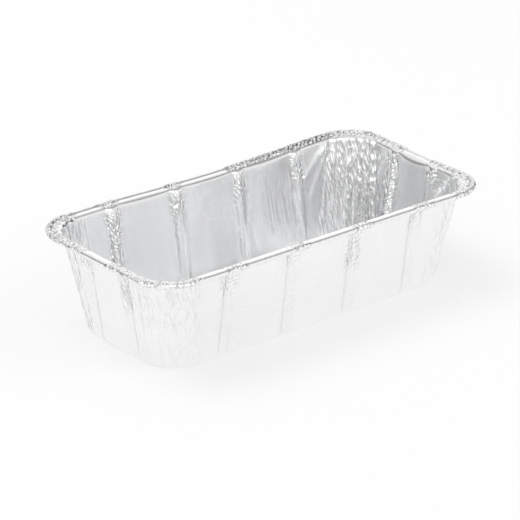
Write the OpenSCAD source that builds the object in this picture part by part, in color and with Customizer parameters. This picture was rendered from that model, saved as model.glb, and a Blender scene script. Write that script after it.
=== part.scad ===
// Foil loaf pan: one sheet of aluminium foil, pressed into a long tray with a rolled rim.
// The origin is the middle of the standing face. X runs along the pan and Z is up.
// The near long side faces -Y.

/* [Rim] */
// Length over the rolled rim
rim_l = 203.2; // [180:0.1:260]
// Width over the rolled rim
rim_w = 101.6; // [95:0.1:140]
// Corner radius of the rim's outline
rim_r = 20.3; // [17:0.1:27]
// Diameter of the rolled bead at the edge
bead_d = 3; // [2.4:0.1:4]
// Step down from the top of the bead to the flange
flange_drop = 0.8; // [0.5:0.1:1.1]
// Width of the flat flange inside the bead
flange_w = 1.7; // [1:0.1:4]
// Radius of the shoulder between the flange and the wall
shoulder_r = 1.6; // [1.2:0.1:3]
// How far the middle of the far rim is pushed in by handling
far_dent = 1.4; // [0:0.1:3]
// Where that dent is deepest, along the pan from its middle
far_dent_at = 12; // [-30:1:30]

/* [Tray] */
// Height from the standing face to the top of the bead
pan_h = 50.8; // [40:0.1:65]
// Thickness of the foil
foil_t = 0.1; // [0.06:0.01:0.2]
// Lean of the walls, in degrees
wall_draft = 9; // [6:0.1:11]
// Corner radius of the tray at the top of the wall
wall_r = 19; // [17:0.1:24]
// Corner radius of the tray at its foot
foot_corner_r = 20; // [17:0.1:22]
// Radius of the bend between the wall and the base
foot_r = 2.5; // [1.5:0.1:4]

/* [Ribs] */
// Number of upright ribs in each long wall
long_ribs = 4; // [2:1:6]
// Number of upright ribs in each short wall
short_ribs = 2; // [2:1:3]
// From the last rib of a long wall to the corner, at the foot
long_rib_end = 11.4; // [6:0.1:16]
// From the last rib of a short wall to the corner, at the foot
short_rib_end = 3.4; // [3:0.1:6]
// Width of a rib at the top of the wall
rib_top_w = 7.5; // [5:0.1:8]
// Width of a rib at the foot
rib_foot_w = 5.5; // [3:0.1:6]
// How far a rib stands into the tray
rib_d = 1.3; // [0.6:0.1:2]
// How far the top edge of a panel bows into the tray between two ribs
bow_in = 0.9; // [0:0.1:1.5]
// How far the top edge of a panel dips between two ribs
bow_drop = 1.2; // [0:0.1:2]
// Share of that bow in the wider panels of the long walls
long_bow = 0.4; // [0:0.1:1]

/* [Corner pleats] */
// Number of folds that the foil gathers into at each corner
pleats = 6; // [4:1:6]
// Depth of a fold
pleat_d = 0.9; // [0:0.1:1.2]

/* [Base] */
// Width of the flat ring that the pan stands on
ring_w = 6; // [3:0.1:9]
// Height of the raised middle of the base
panel_h = 0.8; // [0.4:0.1:1.5]
// Width of the slope up to the raised middle
panel_slope_w = 1.5; // [1:0.1:3]

/* [Hidden] */
foil_colour = [0.84, 0.85, 0.86];

// Rolled bead. An angle of 0 is its outermost point, 90 is its top and -90 its underside.
bead_r = bead_d / 2;
bead_join = 180 - asin(1 - flange_drop / bead_r);
bead_step = 45;
bead_top = 90;
bead_tucks_from = -90;
bead_end = -225;
bead_tuck = 0.3 * bead_r;
function bead_radius(angle) =
    bead_r - bead_tuck * max(0, bead_tucks_from - angle) / (bead_tucks_from - bead_end);
function bead_in(angle) = bead_r - bead_radius(angle) * cos(angle);
function bead_z(angle) = pan_h - bead_r + bead_radius(angle) * sin(angle);

// Insets from the rim's outline, and heights, of the bends in the section
flange_z = pan_h - flange_drop;
flange_in = bead_in(bead_join) + flange_w;
lean = 90 - wall_draft;
wall_top_in = flange_in + shoulder_r * sin(lean);
wall_top_z = flange_z - shoulder_r * (1 - cos(lean));
wall_foot_z = foil_t + foot_r * (1 - cos(lean));
wall_foot_in = wall_top_in + (wall_top_z - wall_foot_z) * tan(wall_draft);
foot_in = wall_foot_in + foot_r * sin(lean);

// Places of the outer ribs, measured back from where the flat of the wall ends at its foot
long_first = rim_l / 2 - wall_foot_in - foot_corner_r - long_rib_end;
short_first = rim_w / 2 - wall_foot_in - foot_corner_r - short_rib_end;

// Across a rib, from one edge to the other: place, and share of the depth
rib_section = [[1, 0], [0.5, 0.7], [0, 1], [-0.5, 0.7], [-1, 0]];
// Along the panel between two ribs: place, and share of the bow
bow_section = [[0.2, 0.64], [0.5, 1], [0.8, 0.64]];

// The sheet is a stack of rows, each one closed round the pan. A row holds its inset from the
// rim's outline, its height, its corner radius and its shares of the ribs, pleats and bows.
function row_in(row) = row[0];
function row_z(row) = row[1];
function row_r(row) = row[2];
function row_rib(row) = row[3];
function row_pleat(row) = row[4];
function row_bow(row) = row[5];

function bead_row(angle) = [bead_in(angle), bead_z(angle), rim_r - bead_in(angle), 0, 0, 0];
function shoulder_row(angle, rib, pleat, bow) = [
    flange_in + shoulder_r * sin(angle),
    flange_z - shoulder_r * (1 - cos(angle)),
    rim_r - flange_in + angle / lean * (wall_r - rim_r + flange_in),
    rib, pleat, bow
];
function wall_row(share, rib, pleat, bow) = [
    wall_top_in + share * (wall_foot_in - wall_top_in),
    wall_top_z + share * (wall_foot_z - wall_top_z),
    wall_r + share * (foot_corner_r - wall_r),
    rib, pleat, bow
];
function foot_row(angle, rib, pleat) =
    let (inset = foot_in - foot_r * sin(angle))
    [inset, foil_t + foot_r * (1 - cos(angle)), foot_corner_r + wall_foot_in - inset, rib, pleat, 0];
function base_row(inset, rise) =
    [foot_in + inset, foil_t + rise, foot_corner_r + wall_foot_in - foot_in - inset, 0, 0, 0];

rows = [
    for (angle = [bead_end:bead_step:bead_top]) bead_row(angle),
    bead_row(bead_join),
    shoulder_row(0, 0, 0.15, 0),
    shoulder_row(lean / 2, 0.1, 0.4, 0.3),
    wall_row(0, 0.4, 0.7, 1),
    wall_row(0.08, 0.85, 1, 0.8),
    wall_row(0.35, 1, 1, 0.4),
    wall_row(0.7, 1, 0.7, 0.1),
    wall_row(1, 1, 0.4, 0),
    foot_row(lean / 2, 0.6, 0.2),
    base_row(0, 0),
    base_row(ring_w, 0),
    base_row(ring_w + panel_slope_w, panel_h)
];

// The other face of the sheet: every bend moves square to its two sides by the foil's thickness
function unit(v) = v / norm(v);
function side(i) =
    i < 0 ? side(0)
    : i > len(rows) - 2 ? [1, 0]
    : unit([row_in(rows[i + 1]) - row_in(rows[i]), row_z(rows[i + 1]) - row_z(rows[i])]);
function square_to(v) = [-v[1], v[0]];
function through_foil(i) =
    let (before = square_to(side(i - 1)), after = square_to(side(i)))
    foil_t * (before + after) / (1 + before * after);
back_rows = [
    for (i = [0:len(rows) - 1])
        let (row = rows[i], step = through_foil(i))
        [
            row_in(row) - step[0],
            row_z(row) - step[1],
            row_r(row) + step[0],
            row_rib(row), row_pleat(row), row_bow(row)
        ]
];

// Points of one straight wall, each as a place along it, a step in from it and a step down
function rib_width(row) =
    let (share = (wall_top_z - row_z(row)) / (wall_top_z - wall_foot_z))
    rib_top_w + max(0, min(1, share)) * (rib_foot_w - rib_top_w);
function rib_points(row, place) = [
    for (point = rib_section)
        [place + point[0] * rib_width(row) / 2, rib_d * row_rib(row) * point[1], 0]
];
function panel_points(row, start, end, share) = [
    for (point = bow_section)
        let (bow = share * row_bow(row) * point[1])
        [start + point[0] * (end - start), bow_in * bow, bow_drop * bow]
];
function wall_points(row, run, first, count, bow_share) =
    let (
        half = rib_width(row) / 2,
        pitch = 2 * first / (count - 1),
        beside = (run + first + half) / 2
    )
    [
        [beside, 0, 0],
        for (i = [0:count - 1])
            let (place = first - i * pitch)
            each concat(
                rib_points(row, place),
                i < count - 1
                    ? panel_points(row, place - half, place - pitch + half, bow_share)
                    : []
            ),
        [-beside, 0, 0]
    ];

// Points of one corner about its centre: every fold is a valley between two ridges
function corner_points(row, turn) = [
    for (i = [0:2 * pleats])
        let (
            angle = 90 * (turn + i / (2 * pleats)),
            on_edge = i == 0 || i == 2 * pleats,
            ridge = on_edge ? 0 : i % 2 == 1 ? 1 : -1,
            radius = row_r(row) + ridge * row_pleat(row) * pleat_d / 2
        )
        radius * [cos(angle), sin(angle)]
];

// The dent of the far rim dies out towards the corners and the foot
function dented(point) =
    let (
        reach = rim_l / 2 - rim_r - abs(far_dent_at),
        along = cos(90 * min(1, abs(point[0] - far_dent_at) / reach)),
        up = max(0, point[2] / pan_h)
    )
    point - [0, point[1] > 0 ? far_dent * up * along * along : 0, 0];

// Quarter turns about the pan's axis
function turned(point, turn) = turn == 0 ? point : turned([-point[1], point[0]], turn - 1);

// One whole row, anticlockwise from the start of the corner between +X and +Y
function row_points(row) =
    let (half = [rim_l / 2 - row_in(row), rim_w / 2 - row_in(row)])
    [
        for (turn = [0:3])
            let (
                along = turn % 2,
                run = half[along] - row_r(row),
                centre = [
                    (turn == 0 || turn == 3 ? 1 : -1) * (half[0] - row_r(row)),
                    (turn < 2 ? 1 : -1) * (half[1] - row_r(row))
                ],
                wall = along == 0
                    ? wall_points(row, run, long_first, long_ribs, long_bow)
                    : wall_points(row, run, short_first, short_ribs, 1)
            )
            each concat(
                [
                    for (point = corner_points(row, turn))
                        dented([each centre + point, row_z(row)])
                ],
                [
                    for (point = wall)
                        let (place = turned([point[0], half[1 - along] - point[1]], turn))
                        dented([each place, row_z(row) - point[2]])
                ]
            )
    ];

// Both faces of the sheet, joined round the edge of the curl and closed over the base
module foil_sheet() {
    front = [for (row = rows) each row_points(row)];
    back = [for (row = back_rows) each row_points(row)];
    columns = len(front) / len(rows);
    last = len(rows) - 1;
    behind = len(front);
    middle = 2 * behind;
    function at(i, j) = i * columns + j % columns;
    polyhedron(
        points = [
            each front,
            each back,
            [0, 0, row_z(rows[last])],
            [0, 0, row_z(back_rows[last])]
        ],
        faces = [
            for (i = [0:last - 1], j = [0:columns - 1]) each [
                [at(i, j), at(i + 1, j), at(i + 1, j + 1)],
                [at(i, j), at(i + 1, j + 1), at(i, j + 1)],
                [behind + at(i, j), behind + at(i + 1, j + 1), behind + at(i + 1, j)],
                [behind + at(i, j), behind + at(i, j + 1), behind + at(i + 1, j + 1)]
            ],
            for (j = [0:columns - 1]) each [
                [at(0, j), at(0, j + 1), behind + at(0, j + 1)],
                [at(0, j), behind + at(0, j + 1), behind + at(0, j)],
                [at(last, j + 1), at(last, j), middle],
                [behind + at(last, j), behind + at(last, j + 1), middle + 1]
            ]
        ],
        convexity = 10
    );
}

module pan() {
    color(foil_colour)
        foil_sheet();
}

pan();
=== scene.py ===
"""The looks of the foil loaf pan: one sheet of bright foil, pressed, folded and a little crumpled.

The sheet is laid out in rows and columns from the same sizes as the solid. Then it is handled: ribs,
corners and rim crinkle where the photograph shows it, and the panels carry soft creases.
Sizes are in millimetres until the mesh is made, and the frame is the solid's own.
"""
import math
import bmesh
import bpy
import numpy as np
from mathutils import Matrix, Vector


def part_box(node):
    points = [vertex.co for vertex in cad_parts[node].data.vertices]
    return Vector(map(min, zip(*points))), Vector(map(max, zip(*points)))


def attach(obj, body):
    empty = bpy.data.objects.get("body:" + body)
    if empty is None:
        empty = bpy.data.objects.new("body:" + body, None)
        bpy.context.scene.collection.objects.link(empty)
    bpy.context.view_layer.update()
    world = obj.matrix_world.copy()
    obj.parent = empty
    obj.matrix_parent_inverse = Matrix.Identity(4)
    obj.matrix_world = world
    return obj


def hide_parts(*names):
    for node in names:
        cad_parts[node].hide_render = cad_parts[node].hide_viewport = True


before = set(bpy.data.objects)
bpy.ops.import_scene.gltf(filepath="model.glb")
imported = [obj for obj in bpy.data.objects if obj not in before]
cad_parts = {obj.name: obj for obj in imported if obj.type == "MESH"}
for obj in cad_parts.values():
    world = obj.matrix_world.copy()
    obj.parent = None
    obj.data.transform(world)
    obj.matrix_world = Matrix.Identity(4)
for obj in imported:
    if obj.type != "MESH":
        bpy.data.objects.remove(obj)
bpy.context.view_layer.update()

MM = 0.001
LOW, HIGH = (np.array(corner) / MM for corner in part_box("pan"))

# The sizes of the pressed sheet, as in the solid
RIM_L, RIM_W, PAN_H = HIGH - LOW
RIM_R = 20.3
BEAD_R = 1.5
FLANGE_DROP = 0.8
FLANGE_W = 1.7
SHOULDER_R = 1.6
FAR_DENT = 1.4
FAR_DENT_AT = 12.0
FOIL_T = 0.1
WALL_DRAFT = math.radians(9)
WALL_R = 19.0
FOOT_CORNER_R = 20.0
FOOT_R = 2.5
LONG_RIBS = 4
SHORT_RIBS = 2
LONG_RIB_END = 11.4
SHORT_RIB_END = 3.4
RIB_TOP_W = 7.5
RIB_FOOT_W = 5.5
RIB_D = 1.3
BOW_IN = 0.9
BOW_DROP = 1.2
LONG_BOW = 0.4
PLEATS = 6
PLEAT_D = 0.9
RING_W = 6.0
PANEL_H = 0.8
PANEL_SLOPE_W = 1.5

# Bends of the section, worked out from those sizes
BEAD_JOIN = math.pi - math.asin(1 - FLANGE_DROP / BEAD_R)
BEAD_END = math.radians(-225)
BEAD_TUCKS_FROM = math.radians(-90)
BEAD_TUCK = 0.3 * BEAD_R
LEAN = math.pi / 2 - WALL_DRAFT
FLANGE_Z = PAN_H - FLANGE_DROP
FLANGE_IN = BEAD_R - BEAD_R * math.cos(BEAD_JOIN) + FLANGE_W
WALL_TOP_IN = FLANGE_IN + SHOULDER_R * math.sin(LEAN)
WALL_TOP_Z = FLANGE_Z - SHOULDER_R * (1 - math.cos(LEAN))
WALL_FOOT_Z = FOIL_T + FOOT_R * (1 - math.cos(LEAN))
WALL_FOOT_IN = WALL_TOP_IN + (WALL_TOP_Z - WALL_FOOT_Z) * math.tan(WALL_DRAFT)
FOOT_IN = WALL_FOOT_IN + FOOT_R * math.sin(LEAN)
MIDDLE_IN = FOOT_IN + RING_W + PANEL_SLOPE_W
SPINE = (RIM_L - RIM_W) / 2
LONG_FIRST = RIM_L / 2 - WALL_FOOT_IN - FOOT_CORNER_R - LONG_RIB_END
SHORT_FIRST = RIM_W / 2 - WALL_FOOT_IN - FOOT_CORNER_R - SHORT_RIB_END

# Bends sharper than this show as a crease, in smooth foil and where it is crumpled
SOFT_BEND = math.radians(40)
SHARP_BEND = math.radians(14)

# How finely each stretch of the sheet is cut. The counts of columns divide by four, because the
# walls keep every second column of the rim and the base every fourth.
TUCKED_ROWS = 2
CURL_ROWS = 7
CROWN_ROWS = 3
FLANGE_ROWS = 2
SHOULDER_ROWS = 4
WALL_ROWS = 40
FOOT_ROWS = 4
RING_ROWS = 2
SLOPE_ROWS = 2
MIDDLE_ROWS = 8
RIM_ROWS = TUCKED_ROWS + CURL_ROWS + CROWN_ROWS + FLANGE_ROWS + SHOULDER_ROWS
CORNER_COLUMNS = 104
RIB_COLUMNS = 28
LONG_PANEL_COLUMNS = (48, 28, 24)
SHORT_PANEL_COLUMNS = (28,)
LONG_END_COLUMNS = (24, 16)
SHORT_END_COLUMNS = (12, 12)

# The four sides in the order of the columns. Each is preceded by its corner: back, left, front, right
FAR, LEFT, NEAR, RIGHT = range(4)

# How far down the wall each rib is crumpled, in the order of the columns
CRUMPLED_DOWN = ((20, 15, 14, 46), (14, 26), (16, 10, 24, 12), (8, 46))
# How far the back corner is bent outwards and up
BACK_CORNER_LIFT = np.array([0.4, 0.4, 1.0])
# How much each corner is crumpled
CORNER_MESS = (1.0, 1.0, 0.7, 0.8)
# The hatch on the far rim: its pitch along the rim, and where its strokes turn, across the pan
HATCH_PITCH = 2.6
HATCH_TURNS = 48.8
# Creases in the walls: side, place along the wall and depth under the rim of both ends, width, height
CREASES = (
    (FAR, (-4.3, 9.1), (-2.4, 18.1), 3.0, 0.25),
    (FAR, (-2.4, 18.1), (0.5, 10.8), 3.0, -0.2),
    (FAR, (77.5, 3.6), (61.0, 18.0), 3.5, 0.6),
    (FAR, (77.5, 6.0), (64.0, 29.0), 3.5, 0.55),
    (FAR, (77.5, 9.0), (68.0, 40.0), 3.5, -0.55),
    (FAR, (24.0, 20.0), (27.0, 44.0), 3.0, 0.2),
    (RIGHT, (-26.8, 3.3), (-17.5, 14.2), 2.2, 0.8),
    (RIGHT, (-31.8, 3.3), (-33.0, 9.0), 2.0, -0.3),
    (NEAR, (-62.0, 8.0), (-70.5, 30.0), 5.0, 0.2),
    (LEFT, (4.0, 9.0), (-3.5, 20.0), 4.0, 0.2),
)


def spread(low, high, steps):
    """Evenly spaced places from low up to, and without, high."""
    return np.linspace(low, high, steps, endpoint=False)


def between(share, places, values):
    return np.interp(share, places, values)


def lay_rows():
    """The section from the curl's tucked end to the middle of the base, one line a row.

    Each holds the inset from the rim's outline, the height, the corner radius, the shares of the
    ribs, the pleats and the bows, and how far the row is drawn in to the spine of the base.
    """
    rows = []
    curl = [
        *spread(BEAD_END, BEAD_TUCKS_FROM, TUCKED_ROWS),
        *spread(BEAD_TUCKS_FROM, math.pi / 2, CURL_ROWS),
        *spread(math.pi / 2, BEAD_JOIN, CROWN_ROWS),
    ]
    for angle in curl:
        tuck = BEAD_TUCK * max(0, BEAD_TUCKS_FROM - angle) / (BEAD_TUCKS_FROM - BEAD_END)
        inset = BEAD_R - (BEAD_R - tuck) * math.cos(angle)
        z = PAN_H - BEAD_R + (BEAD_R - tuck) * math.sin(angle)
        rows.append((inset, z, RIM_R - inset, 0, 0, 0, 0))
    for inset in spread(FLANGE_IN - FLANGE_W, FLANGE_IN, FLANGE_ROWS):
        rows.append((inset, FLANGE_Z, RIM_R - inset, 0, 0.1, 0, 0))
    for angle in spread(0, LEAN, SHOULDER_ROWS):
        share = angle / LEAN
        rows.append((
            FLANGE_IN + SHOULDER_R * math.sin(angle),
            FLANGE_Z - SHOULDER_R * (1 - math.cos(angle)),
            RIM_R - FLANGE_IN + share * (WALL_R - RIM_R + FLANGE_IN),
            between(share, [0, 0.5, 1], [0, 0.1, 0.4]),
            between(share, [0, 0.5, 1], [0.15, 0.4, 0.7]),
            between(share, [0, 0.5, 1], [0, 0.3, 1]),
            0,
        ))
    for share in spread(0, 1, WALL_ROWS):
        rows.append((
            WALL_TOP_IN + share * (WALL_FOOT_IN - WALL_TOP_IN),
            WALL_TOP_Z + share * (WALL_FOOT_Z - WALL_TOP_Z),
            WALL_R + share * (FOOT_CORNER_R - WALL_R),
            between(share, [0, 0.08, 0.35], [0.4, 0.85, 1]),
            between(share, [0, 0.08, 0.35, 0.7, 1], [0.7, 1, 1, 0.7, 0.4]),
            between(share, [0, 0.08, 0.35, 0.7, 1], [1, 0.8, 0.4, 0.1, 0]),
            0,
        ))
    for angle in spread(LEAN, 0, FOOT_ROWS):
        share = angle / LEAN
        inset = FOOT_IN - FOOT_R * math.sin(angle)
        z = FOIL_T + FOOT_R * (1 - math.cos(angle))
        rib = between(share, [0, 0.5, 1], [0, 0.6, 1])
        rows.append((inset, z, FOOT_CORNER_R + WALL_FOOT_IN - inset, rib, 0.4 * share, 0, 0))
    slope_in = FOOT_IN + RING_W
    base = [(inset, 0, 0) for inset in spread(FOOT_IN, slope_in, RING_ROWS)]
    base += [(inset, (inset - slope_in) / PANEL_SLOPE_W, 0) for inset in spread(slope_in, MIDDLE_IN, SLOPE_ROWS)]
    base += [(MIDDLE_IN, 1, drawn) for drawn in np.linspace(0, 1, MIDDLE_ROWS)]
    for inset, rise, drawn in base:
        radius = FOOT_CORNER_R + WALL_FOOT_IN - inset
        rows.append((inset, FOIL_T + rise * PANEL_H, radius, 0, 0, 0, drawn))
    return np.array(rows).T


def lay_columns():
    """Every column round the pan, one line each, anticlockwise from the corner between +X and +Y.

    Each holds its side, its share of a corner's quarter turn (or -1 on a wall), its place along the
    wall as a constant, a share of the flat run and a share of half a rib's width, its shares of the
    rib and the bow, the nearest rib, and how far it is past that rib's edge and from the corner.
    """
    columns = []
    away = 99
    for side in (FAR, LEFT, NEAR, RIGHT):
        if side in (FAR, NEAR):
            first, count, end = LONG_FIRST, LONG_RIBS, LONG_RIB_END
            panels, ends = LONG_PANEL_COLUMNS, LONG_END_COLUMNS
        else:
            first, count, end = SHORT_FIRST, SHORT_RIBS, SHORT_RIB_END
            panels, ends = SHORT_PANEL_COLUMNS, SHORT_END_COLUMNS
        if side in (NEAR, RIGHT):
            panels, ends = panels[::-1], ends[::-1]
        places = np.linspace(first, -first, count)
        last = count - 1
        for turn in spread(0, 1, CORNER_COLUMNS):
            columns.append((side, turn, 0, 0, 0, 0, 0, 0, away, 0))
        for t in spread(0, 1, ends[0]):
            columns.append((side, -1, t * first, 1 - t, t, 0, 0, 0, (1 - t) * end, t * end))
        for i, place in enumerate(places):
            for s in spread(1, -1, RIB_COLUMNS):
                columns.append((side, -1, place, 0, s, (1 - s * s) ** 1.2, 0, i, 0, end))
            if i == last:
                continue
            gap = place - places[i + 1] - RIB_TOP_W
            for t in spread(0, 1, panels[i]):
                middle = place + t * (places[i + 1] - place)
                past = min(t, 1 - t) * gap
                near = i if t < 0.5 else i + 1
                columns.append((side, -1, middle, 0, 2 * t - 1, 0, 4 * t * (1 - t), near, past, away))
        for t in spread(0, 1, ends[1]):
            columns.append((side, -1, (t - 1) * first, -t, t - 1, 0, 0, last, t * end, (1 - t) * end))
    return np.array(columns).T


INSET, Z, RADIUS, RIB, PLEAT, BOW, DRAWN = (row[:, None] for row in lay_rows())
SIDE, TURN, PLACE, OF_RUN, OF_RIB, RIB_RISE, BOW_RISE, NEXT_RIB, PAST_RIB, FROM_CORNER = lay_columns()
BOW_RISE = BOW_RISE * np.where(SIDE % 2 == 0, LONG_BOW, 1)
AT_CORNER = TURN >= 0
ROWS, COLUMNS = len(INSET), len(SIDE)


# Noise and folds, all worked out from points in millimetres and a seed


def lattice(cells, seed):
    """A number from -1 to 1 for each cell of a grid, the same on every run."""
    x, y, z = (cells[..., i].astype(np.int64) for i in range(3))
    h = (x * 73856093) ^ (y * 19349663) ^ (z * 83492791) ^ (seed * 668265263)
    h = ((h ^ (h >> 13)) * 1274126177) & 0x7FFFFFFF
    h = ((h ^ (h >> 15)) * 69069) & 0x7FFFFFFF
    return h / 0x3FFFFFFF - 1


def noise(points, size, seed):
    """Smooth noise from -1 to 1, with lumps about size apart."""
    p = points / size
    cell = np.floor(p)
    t = p - cell
    t = t * t * (3 - 2 * t)
    total = 0
    for corner in np.ndindex(2, 2, 2):
        weight = np.prod(np.where(corner, t, 1 - t), axis=-1)
        total = total + weight * lattice(cell + corner, seed)
    return total


def zigzag(t):
    """A triangle wave from -1 to 1 with a period of 1: flat facets that meet at sharp creases."""
    return 4 * np.abs(t - np.floor(t + 0.5)) - 1


def crumple(points, size, seed, folds=5, upright=0.0):
    """Foil creased by small folds, about -1 to 1. Upright folds run up the walls."""
    rng = np.random.default_rng(seed)
    total = 0
    for i in range(folds):
        way = rng.normal(size=3)
        way[2] *= 1 - upright
        way /= np.linalg.norm(way)
        spacing = size * rng.uniform(0.7, 1.6)
        drift = 0.5 * noise(points, 3.5 * size, seed * 31 + i)
        total = total + zigzag(points @ way / spacing + rng.uniform() + drift)
    return total / math.sqrt(folds) / 1.3


def ramp(x, low, high):
    """0 at low and 1 at high, smooth between."""
    t = np.clip((x - low) / (high - low), 0, 1)
    return t * t * (3 - 2 * t)


def lay_sheet():
    """The pressed sheet before it is handled: the place of each row and column."""
    half_l, half_w = RIM_L / 2 - INSET, RIM_W / 2 - INSET
    long_side = (SIDE % 2 == 0)[None]
    run = np.where(long_side, half_l, half_w) - RADIUS
    reach = np.where(long_side, half_w, half_l)
    share = np.clip((WALL_TOP_Z - Z) / (WALL_TOP_Z - WALL_FOOT_Z), 0, 1)
    half_rib = (RIB_TOP_W + share * (RIB_FOOT_W - RIB_TOP_W)) / 2
    along = PLACE + OF_RUN * run + OF_RIB * half_rib
    deep = reach - RIB_D * RIB * RIB_RISE - BOW_IN * BOW * BOW_RISE
    cos = np.round(np.cos(SIDE * math.pi / 2))
    sin = np.round(np.sin(SIDE * math.pi / 2))

    uneven = 0.02 * noise(np.stack([TURN * 9, SIDE * 7.3, 0 * SIDE], -1), 1, 5)
    fold = zigzag((TURN + uneven) * PLEATS) * ramp(TURN, 0, 0.06) * ramp(1 - TURN, 0, 0.06)
    radius = RADIUS + PLEAT * PLEAT_D / 2 * fold
    angle = (SIDE + TURN) * math.pi / 2
    to_right = np.where((SIDE == FAR) | (SIDE == RIGHT), 1, -1)
    to_back = np.where(SIDE < NEAR, 1, -1)

    x = np.where(AT_CORNER, to_right * (half_l - RADIUS) + radius * np.cos(angle), along * cos - deep * sin)
    y = np.where(AT_CORNER, to_back * (half_w - RADIUS) + radius * np.sin(angle), along * sin + deep * cos)
    x = x + DRAWN * (np.clip(x, -SPINE, SPINE) - x)
    y = y * (1 - DRAWN)
    z = Z - np.where(AT_CORNER, 0, BOW_DROP * BOW * BOW_RISE)
    reach = RIM_L / 2 - RIM_R - abs(FAR_DENT_AT)
    fades = np.cos(math.pi / 2 * np.minimum(1, np.abs(x - FAR_DENT_AT) / reach)) ** 2
    y = y - np.where(y > 0, FAR_DENT * fades * z / PAN_H, 0)
    return np.stack([x, y, z], -1)


def face_out(sheet):
    """The direction square to the sheet at each point, on the side that holds the food."""
    round_pan = np.roll(sheet, -1, 1) - np.roll(sheet, 1, 1)
    down_section = np.gradient(sheet, axis=0)
    out = np.cross(round_pan, down_section)
    out /= np.maximum(np.linalg.norm(out, axis=-1, keepdims=True), 1e-9)
    on_base = (INSET > FOOT_IN + 0.1)[..., None]
    return np.where(on_base, np.array([0.0, 0.0, 1.0]), out)


def crease(side, start, end, width, height, across, depth):
    """One fold in a wall: a sharp line, with a steep side and a wide shallow one."""
    start, end = np.array(start), np.array(end)
    length = np.linalg.norm(end - start)
    way = (end - start) / length
    along = (across - start[0]) * way[0] + (depth - start[1]) * way[1]
    aside = (depth - start[1]) * way[0] - (across - start[0]) * way[1]
    fade = ramp(along, -2, 2) * (1 - ramp(along, length - 2, length + 2))
    slope = np.where(aside > 0, 1 - aside / width, 1 + aside / width * 3)
    return (SIDE == side) * height * fade * np.clip(slope, 0, 1)


def plait(sheet):
    """Counts the slanted folds of a rib, which meet like a herringbone along its middle."""
    depth = PAN_H - sheet[..., 2]
    return depth / 3.0 + np.abs(OF_RIB) * 1.2 + 0.35 * (OF_RIB > 0) + 0.9 * noise(sheet, 3.6, 25)


def handle(sheet):
    """How far handling pushes each point of the sheet, and how crumpled it is there."""
    x, y, z = sheet[..., 0], sheet[..., 1], sheet[..., 2]
    depth = PAN_H - z
    across = np.where(SIDE % 2 == 0, x, y)
    on_wall = ramp(depth, 1.5, 5) * ramp(z, 0.3, 4) * (INSET < FOOT_IN + 0.1)
    on_rim = 1 - ramp(INSET, FLANGE_IN, WALL_TOP_IN)
    curl_end = ramp(np.arange(ROWS), 0, 5)[:, None]

    down = np.array([CRUMPLED_DOWN[int(s)][int(i)] for s, i in zip(SIDE, NEXT_RIB)])
    mess = np.array([CORNER_MESS[int(s)] for s in SIDE])
    next_corner = np.array([CORNER_MESS[int(s + 1) % 4] for s in SIDE])
    corner_mess = np.where(AT_CORNER | (NEXT_RIB == 0), mess, next_corner)
    by_rib = (1 - ramp(PAST_RIB, 0, 3.5)) * (0.22 + 0.78 * (1 - ramp(depth, down - 5, down + 5)))
    by_corner = (1 - ramp(FROM_CORNER, 0, 4)) * corner_mess
    by_corner = by_corner * np.where(corner_mess < 1, 1 - 0.6 * ramp(depth, 20, 34), 1)
    patch = (SIDE == FAR) * ramp(x, 31, 37) * (1 - ramp(x, 54, 60)) * ramp(depth, 8, 14) * (1 - ramp(depth, 34, 42))
    back_rim = (SIDE == FAR) * ramp(x, 8, 30) * (1 - ramp(x, 74, 84)) * (y > 0)

    flat_side = np.where(AT_CORNER, 0, 1)
    crumpled = np.clip(on_wall * np.maximum(np.maximum(by_rib, by_corner), 0.6 * patch), 0, 1)
    crinkled = on_rim * curl_end * np.clip(0.12 + 0.6 * by_rib + by_corner + 0.9 * back_rim, 0, 1.2)

    banded = sheet * [1, 1, 0.12]
    upright = sheet * [1, 1, 0.3]
    steep = sheet * [1, 1, 0.06]
    push = on_wall * (0.3 * noise(upright, 16, 11) + 0.09 * noise(banded, 5, 12) + 0.03 * noise(banded, 2.2, 13))
    uneven = 0.13 + 0.09 * noise(sheet, 3.2, 26)
    push = push + on_wall * by_rib * uneven * zigzag(plait(sheet)) * np.where(PAST_RIB > 0, 0, flat_side)
    off_corner = crumpled * (1 - 0.8 * by_corner)
    push = push + off_corner * (0.13 * crumple(sheet * [1, 1, 0.6], 2.4, 21, folds=3) + 0.08 * crumple(upright, 1.6, 22))
    push = push + on_wall * by_corner * 0.15 * crumple(steep, 1.5, 23, folds=3, upright=0.8)
    push = push + on_wall * by_corner * 0.09 * crumple(steep, 4.2, 24, folds=3, upright=0.5)
    push = push + crinkled * (0.2 * crumple(sheet * [1, 1, 0.4], 1.5, 31, upright=0.8) + 0.09 * crumple(sheet, 0.9, 32))
    for fold in CREASES:
        push = push + on_wall * crease(*fold, across, depth)

    ribbed = on_wall * by_rib * np.where(PAST_RIB > 0, 0, flat_side)
    middle = ramp(INSET + 30 * DRAWN, MIDDLE_IN - 0.5, MIDDLE_IN + 6)
    push = push + middle * (0.35 * noise(sheet, 24, 41) + 0.12 * crumple(sheet, 19, 42, folds=3))
    base = INSET > FOOT_IN + 0.1
    crumpled = np.where(base, 0.15 * middle, np.maximum(crumpled, np.minimum(crinkled, 1)))
    hatched = on_rim * curl_end * back_rim * (0.4 + 0.6 * ramp(x, 44, 66) + 0.25 * np.clip(noise(sheet, 5, 33), -1, 1))
    return push, {"crumpled": crumpled, "ribbed": ribbed, "hatched": hatched, "crinkled": np.minimum(crinkled, 1), "plait": plait(sheet)}


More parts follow.
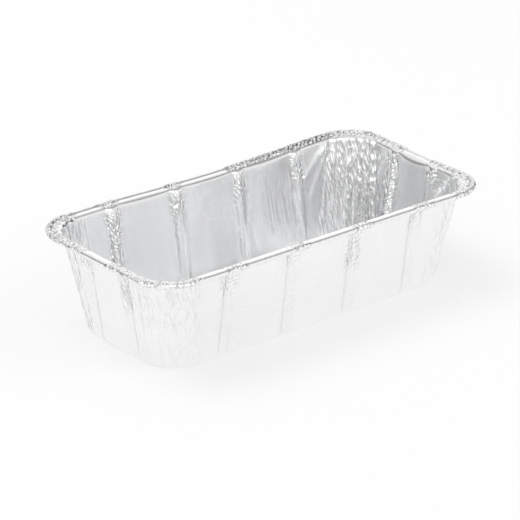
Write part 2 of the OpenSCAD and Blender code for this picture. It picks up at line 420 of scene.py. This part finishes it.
def sway(sheet):
    """The rim isn't quite straight or level, and the back corner is lifted."""
    up = np.clip(sheet[..., 2] / PAN_H, 0, 1)[..., None] ** 2
    flat = sheet * [1, 1, 0]
    lean = np.stack([noise(flat, 34, 51), noise(flat, 34, 52), noise(flat, 27, 53)], -1)
    lift = ramp(sheet[..., 0], 20, 90) * ramp(sheet[..., 1], -10, 45)
    return up * (lean * [0.35, 0.35, 0.2] + lift[..., None] * BACK_CORNER_LIFT)


def stitch_rows():
    """The faces of the food side. Rows further in keep fewer columns, and three-sided faces lead over."""
    faces = []
    for i in range(ROWS - 1):
        step = columns_kept(i)
        for j in range(0, COLUMNS, step):
            here, beside = i * COLUMNS + j, i * COLUMNS + (j + step) % COLUMNS
            if columns_kept(i + 1) == step:
                faces.append([here, beside, beside + COLUMNS, here + COLUMNS])
            elif j % (2 * step) == 0:
                after = i * COLUMNS + (j + 2 * step) % COLUMNS
                faces.append([here, beside, here + COLUMNS])
                faces.append([beside, after + COLUMNS, here + COLUMNS])
                faces.append([beside, after, after + COLUMNS])
    return faces


def columns_kept(row):
    """Every how many columns this row has a point."""
    if row < RIM_ROWS:
        return 1
    return 2 if row < RIM_ROWS + WALL_ROWS + FOOT_ROWS else 4


def build_pan():
    """The closed sheet: the food side, the back a foil's thickness behind it, and the cut edge."""
    sheet = lay_sheet()
    push, marks = handle(sheet)
    front = sheet + face_out(sheet) * push[..., None] + sway(sheet)
    back = front - face_out(front) * FOIL_T
    front[..., 2] = np.maximum(front[..., 2], FOIL_T)
    back[..., 2] = np.maximum(back[..., 2], 0)
    points = np.concatenate([front.reshape(-1, 3), back.reshape(-1, 3)]) * MM

    behind = ROWS * COLUMNS
    food_side = stitch_rows()
    edge = [(j + 1) % COLUMNS for j in range(COLUMNS)]
    faces = food_side + [[behind + point for point in face[::-1]] for face in food_side]
    faces += [[edge[j], j, behind + j, behind + edge[j]] for j in range(COLUMNS)]
    used = np.unique(np.concatenate([np.array(face) for face in faces]))
    renamed = np.zeros(len(points), int)
    renamed[used] = np.arange(len(used))
    faces = [renamed[face].tolist() for face in faces]

    mesh = bpy.data.meshes.new("foil_pan")
    mesh.from_pydata(points[used].tolist(), [], faces)
    for name, values in marks.items():
        layer = mesh.attributes.new(name, "FLOAT", "POINT")
        layer.data.foreach_set("value", np.tile(values.reshape(-1), 2)[used].astype(np.float32))
    join = bmesh.new()
    mesh.shade_smooth()
    join.from_mesh(mesh)
    bmesh.ops.remove_doubles(join, verts=join.verts, dist=0.001 * MM)
    bmesh.ops.triangulate(join, faces=join.faces)
    marked = join.verts.layers.float["crumpled"]
    for line in join.edges:
        limit = SOFT_BEND - (SOFT_BEND - SHARP_BEND) * min(1, line.verts[0][marked] * 1.5)
        line.smooth = line.calc_face_angle(0) < limit
    join.to_mesh(mesh)
    join.free()
    pan = bpy.data.objects.new("foil_pan", mesh)
    bpy.context.scene.collection.objects.link(pan)
    return pan


class Nodes:
    """Short ways to add and join shader nodes."""

    def __init__(self, tree):
        self.tree = tree
        tree.nodes.clear()

    def add(self, kind, **settings):
        node = self.tree.nodes.new(kind)
        for name, value in settings.items():
            setattr(node, name, value)
        return node

    def join(self, out, into):
        self.tree.links.new(out, into)

    def math(self, operation, a, b):
        node = self.add("ShaderNodeMath", operation=operation)
        for socket, value in zip(node.inputs, (a, b)):
            if isinstance(value, (int, float)):
                socket.default_value = value
            else:
                self.join(value, socket)
        return node.outputs[0]

    def noise(self, place, scale, detail=2.0, stretch=(1, 1, 1)):
        """Noise over the object's own coordinates, in lumps to the metre."""
        mapping = self.add("ShaderNodeMapping")
        mapping.inputs["Scale"].default_value = stretch
        self.join(place, mapping.inputs["Vector"])
        node = self.add("ShaderNodeTexNoise")
        node.inputs["Scale"].default_value = scale
        node.inputs["Detail"].default_value = detail
        self.join(mapping.outputs[0], node.inputs["Vector"])
        return node.outputs["Fac"]

    def slivers(self, place, scale, stretch, lean):
        """Sharp-edged cells drawn out upwards and leaning to one side, as in crumpled foil."""
        turned = self.add("ShaderNodeMapping")
        turned.inputs["Rotation"].default_value = (lean, lean, 0)
        self.join(place, turned.inputs["Vector"])
        mapping = self.add("ShaderNodeMapping")
        mapping.inputs["Scale"].default_value = stretch
        self.join(turned.outputs[0], mapping.inputs["Vector"])
        node = self.add("ShaderNodeTexVoronoi")
        node.inputs["Scale"].default_value = scale
        self.join(mapping.outputs[0], node.inputs["Vector"])
        return node.outputs["Distance"]

    def spread(self, value, low, high, start=0.0, end=1.0):
        node = self.add("ShaderNodeMapRange")
        self.join(value, node.inputs["Value"])
        for name, number in (("From Min", start), ("From Max", end), ("To Min", low), ("To Max", high)):
            node.inputs[name].default_value = number
        return node.outputs[0]

    def bump(self, height, distance, strength, under=None):
        node = self.add("ShaderNodeBump")
        node.inputs["Distance"].default_value = distance
        self.join(height, node.inputs["Height"])
        if isinstance(strength, float):
            node.inputs["Strength"].default_value = strength
        else:
            self.join(strength, node.inputs["Strength"])
        if under:
            self.join(under, node.inputs["Normal"])
        return node.outputs[0]


def chevrons(nodes, place):
    """The hatch that the rolling tool left on the far rim: strokes that turn at the middle of the rim. Its grooves are
    bumped, and painted shade darkens the foil's colour in them.
    """
    parts = nodes.add("ShaderNodeSeparateXYZ")
    nodes.join(place, parts.inputs[0])
    aside = nodes.math("ABSOLUTE", nodes.math("SUBTRACT", parts.outputs["Y"], HATCH_TURNS * MM), 0)
    along = nodes.math("MULTIPLY", nodes.math("ADD", parts.outputs["X"], aside), 2 / (HATCH_PITCH * MM))
    along = nodes.math("ADD", along, nodes.spread(nodes.noise(place, 500, 1), 0, 3.2))
    return nodes.math("PINGPONG", along, 1.0)


def foil_material():
    """Bright rolled foil: upright drawing streaks, a fine tooth, and creases where it is crumpled. Painted shade
    darkens its colour in the creases, the hatch grooves, the rim crinkles and the rib folds.
    """
    material = bpy.data.materials.new("bright_foil")
    material.use_nodes = True
    nodes = Nodes(material.node_tree)
    place = nodes.add("ShaderNodeTexCoord").outputs["Object"]
    crumpled = nodes.add("ShaderNodeAttribute", attribute_name="crumpled").outputs["Fac"]

    streaks = nodes.noise(place, 420, 2, (1, 1, 0.02))
    bands = nodes.noise(place, 90, 1, (1, 1, 0.06))
    tooth = nodes.noise(place, 2600, 2)
    fine = nodes.noise(place, 900, 4)
    cloud = nodes.noise(place, 55, 3)
    facets = nodes.slivers(place, 900, (1, 1, 0.5), 0)
    slivers = nodes.slivers(place, 850, (1, 1, 0.08), 0.1)
    crossing = nodes.slivers(place, 700, (1, 1, 0.1), -0.1)
    speck_shade_cells = nodes.slivers(place, 700, (1, 1, 1), 0)
    strokes = chevrons(nodes, place)
    hatched = nodes.add("ShaderNodeAttribute", attribute_name="hatched").outputs["Fac"]
    crinkled = nodes.add("ShaderNodeAttribute", attribute_name="crinkled").outputs["Fac"]
    ribbed = nodes.add("ShaderNodeAttribute", attribute_name="ribbed").outputs["Fac"]
    plaited = nodes.add("ShaderNodeAttribute", attribute_name="plait").outputs["Fac"]
    plaited = nodes.math("PINGPONG", nodes.math("MULTIPLY", plaited, 2.0), 1.0)

    normal = nodes.bump(streaks, 0.00005, 0.3)
    normal = nodes.bump(bands, 0.0004, 0.2, normal)
    normal = nodes.bump(tooth, 0.00003, 0.15, normal)
    normal = nodes.bump(slivers, 0.0006, nodes.math("MULTIPLY", crumpled, 0.6), normal)
    normal = nodes.bump(facets, 0.0003, nodes.math("MULTIPLY", ribbed, 0.5), normal)
    normal = nodes.bump(plaited, 0.0003, nodes.math("MULTIPLY", ribbed, 0.5), normal)
    normal = nodes.bump(strokes, 0.0004, nodes.math("MULTIPLY", hatched, 0.6), normal)

    shader = nodes.add("ShaderNodeBsdfPrincipled")
    shader.inputs["Metallic"].default_value = 1.0
    rough = nodes.spread(cloud, 0.18, 0.27, 0.3, 0.7)
    rough = nodes.math("ADD", rough, nodes.spread(streaks, -0.02, 0.03, 0.3, 0.7))
    nodes.join(nodes.math("SUBTRACT", rough, nodes.math("MULTIPLY", crumpled, 0.06)), shader.inputs["Roughness"])
    tint = nodes.add("ShaderNodeMix", data_type="RGBA")
    nodes.join(nodes.spread(fine, 0, 1, 0.3, 0.7), tint.inputs["Factor"])
    tint.inputs["A"].default_value = (0.905, 0.91, 0.915, 1)
    tint.inputs["B"].default_value = (0.95, 0.95, 0.955, 1)
    # Painted shade: the base colour is drawn towards near black where shade would fall. This covers the sliver borders
    # of crumpled foil, the hatch grooves of the far rim, specks on the crinkled rim and the fold valleys of the ribs.
    painted_crease_shade = nodes.math("MULTIPLY", crumpled, nodes.spread(slivers, 0, 0.16, 0.55, 0.75))
    painted_crease_shade = nodes.math("ADD", painted_crease_shade, nodes.math("MULTIPLY", crumpled, nodes.spread(crossing, 0, 0.1, 0.55, 0.7)))
    painted_crease_shade = nodes.math("ADD", painted_crease_shade, nodes.math("MULTIPLY", hatched, nodes.spread(strokes, 0, 1.0, 0.5, 0.8)))
    painted_crease_shade = nodes.math("ADD", painted_crease_shade, nodes.math("MULTIPLY", crinkled, nodes.spread(speck_shade_cells, 0, 0.5, 0.58, 0.7)))
    painted_crease_shade = nodes.math("ADD", painted_crease_shade, nodes.math("MULTIPLY", ribbed, nodes.spread(plaited, 0.3, 0, 0, 0.3)))
    painted_shade_mix = nodes.add("ShaderNodeMix", data_type="RGBA")
    nodes.join(painted_crease_shade, painted_shade_mix.inputs["Factor"])
    nodes.join(tint.outputs["Result"], painted_shade_mix.inputs["A"])
    painted_shade_mix.inputs["B"].default_value = (0.2, 0.2, 0.21, 1)
    nodes.join(painted_shade_mix.outputs["Result"], shader.inputs["Base Color"])
    nodes.join(normal, shader.inputs["Normal"])
    out = nodes.add("ShaderNodeOutputMaterial")
    nodes.join(shader.outputs[0], out.inputs["Surface"])
    return material


# The studio

# The camera stands where the photograph was taken from, and is turned up to the one pan
CAMERA_AT = Vector((-0.8906, -1.0738, 0.6275))
LENS = 219.7
AIM_ASIDE = -0.0020
AIM_DOWN = 0.0270
FLOOR_SIZE = 6.0
FLOOR_WHITE = 0.95
# Share of plain white in what the camera and the foil see of the floor
FLOOR_LIFT = 0.6
# The same share in what the foil mirrors of it
MIRRORED_LIFT = 0.85
# The room: how much light falls from all round, and how bright the foil mirrors it
AROUND = 0.7
ROOM = 0.9
# Cards in the room: compass angle from +X, height above the floor, reach, and how much they change it
CARDS = (
    (180, 22, 27, 0.65),
    (270, 22, 27, 0.65),
    (45, 22, 25, 0.3),
    (-4, 22, 28, -0.78),
    (133, 13, 26, -0.6),
    (225, 18, 20, -0.15),
    (318, 44, 25, -0.5),
    (225, 46, 26, 0.5),
    (0, 90, 30, -0.2),
)


def add_camera():
    """The photograph's viewing angle, centred on the pan."""
    top = Vector((0, 0, PAN_H * MM))
    forward = (top - CAMERA_AT).normalized()
    right = forward.cross(Vector((0, 0, 1))).normalized()
    up = right.cross(forward)
    aim = top + right * AIM_ASIDE - up * AIM_DOWN
    data = bpy.data.cameras.new("camera")
    data.lens = LENS
    data.sensor_width = 36
    data.clip_end = 20
    camera = bpy.data.objects.new("camera", data)
    camera.location = CAMERA_AT
    camera.rotation_euler = (aim - CAMERA_AT).to_track_quat("-Z", "Y").to_euler()
    bpy.context.scene.collection.objects.link(camera)
    bpy.context.scene.camera = camera


def seen_by(nodes):
    """1 where the camera looks straight at a surface, or sees it mirrored in the foil."""
    path = nodes.add("ShaderNodeLightPath")
    seen = nodes.math("MAXIMUM", path.outputs["Is Camera Ray"], path.outputs["Is Glossy Ray"])
    return path, nodes.math("MAXIMUM", seen, path.outputs["Is Transmission Ray"])


def add_floor():
    half = FLOOR_SIZE / 2
    mesh = bpy.data.meshes.new("floor")
    corners = [(-half, -half, 0), (half, -half, 0), (half, half, 0), (-half, half, 0)]
    mesh.from_pydata(corners, [], [(0, 1, 2, 3)])
    floor = bpy.data.objects.new("floor", mesh)
    bpy.context.scene.collection.objects.link(floor)
    material = bpy.data.materials.new("pale_floor")
    material.use_nodes = True
    nodes = Nodes(material.node_tree)
    path, seen = seen_by(nodes)
    plain = nodes.add("ShaderNodeBsdfDiffuse")
    plain.inputs["Color"].default_value = (FLOOR_WHITE, FLOOR_WHITE, FLOOR_WHITE, 1)
    white = nodes.add("ShaderNodeEmission")
    mix = nodes.add("ShaderNodeMixShader")
    lift = nodes.math("MULTIPLY", seen, FLOOR_LIFT)
    lift = nodes.math("MAXIMUM", lift, nodes.math("MULTIPLY", path.outputs["Is Glossy Ray"], MIRRORED_LIFT))
    nodes.join(lift, mix.inputs[0])
    nodes.join(plain.outputs[0], mix.inputs[1])
    nodes.join(white.outputs[0], mix.inputs[2])
    out = nodes.add("ShaderNodeOutputMaterial")
    nodes.join(mix.outputs[0], out.inputs["Surface"])
    mesh.materials.append(material)


def add_world():
    """A white backdrop all round. The foil mirrors a studio with soft pale and grey cards."""
    world = bpy.data.worlds.new("studio")
    bpy.context.scene.world = world
    world.use_nodes = True
    nodes = Nodes(world.node_tree)
    path, seen = seen_by(nodes)
    way = nodes.add("ShaderNodeTexCoord").outputs["Generated"]
    room = ROOM
    for compass, height, reach, change in CARDS:
        compass, height, reach = math.radians(compass), math.radians(height), math.radians(reach)
        towards = (math.cos(compass) * math.cos(height), math.sin(compass) * math.cos(height), math.sin(height))
        card = nodes.spread(facing(nodes, way, towards), 0, change, math.cos(reach), math.cos(0.55 * reach))
        room = nodes.math("ADD", room, card)
    mirrored = nodes.math("MULTIPLY", nodes.math("MAXIMUM", room, 0.15), path.outputs["Is Glossy Ray"])
    unlit = nodes.math("SUBTRACT", 1.0, seen)
    level = nodes.math("ADD", mirrored, nodes.math("MULTIPLY", unlit, AROUND))
    level = nodes.math("MAXIMUM", level, path.outputs["Is Camera Ray"])
    background = nodes.add("ShaderNodeBackground")
    background.inputs["Color"].default_value = (1, 1, 1, 1)
    nodes.join(level, background.inputs["Strength"])
    out = nodes.add("ShaderNodeOutputWorld")
    nodes.join(background.outputs[0], out.inputs["Surface"])


def facing(nodes, way, towards):
    """1 where a ray runs towards a point of the room, -1 where it runs away."""
    node = nodes.add("ShaderNodeVectorMath", operation="DOT_PRODUCT")
    nodes.join(way, node.inputs[0])
    node.inputs[1].default_value = Vector(towards).normalized()
    return node.outputs["Value"]


def add_light(name, at, size, glow):
    """A soft square lamp that looks at the pan. A glow of 1 is as bright as the white backdrop."""
    data = bpy.data.lights.new(name, "AREA")
    data.size = size
    data.energy = glow * math.pi * size * size
    lamp = bpy.data.objects.new(name, data)
    lamp.location = at
    lamp.visible_glossy = False
    lamp.rotation_euler = (Vector((0, 0, 0.02)) - lamp.location).to_track_quat("-Z", "Y").to_euler()
    bpy.context.scene.collection.objects.link(lamp)


pan = build_pan()
pan.data.materials.append(foil_material())
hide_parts("pan")
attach(pan, "root")

add_camera()
add_floor()
add_world()
add_light("overhead", Vector((-0.6, 0.7, 1.8)), 1.4, 2.2)
add_light("window", Vector((1.3, -1.5, 0.9)), 1.6, 1.4)
bpy.context.scene.view_settings.view_transform = "Standard"
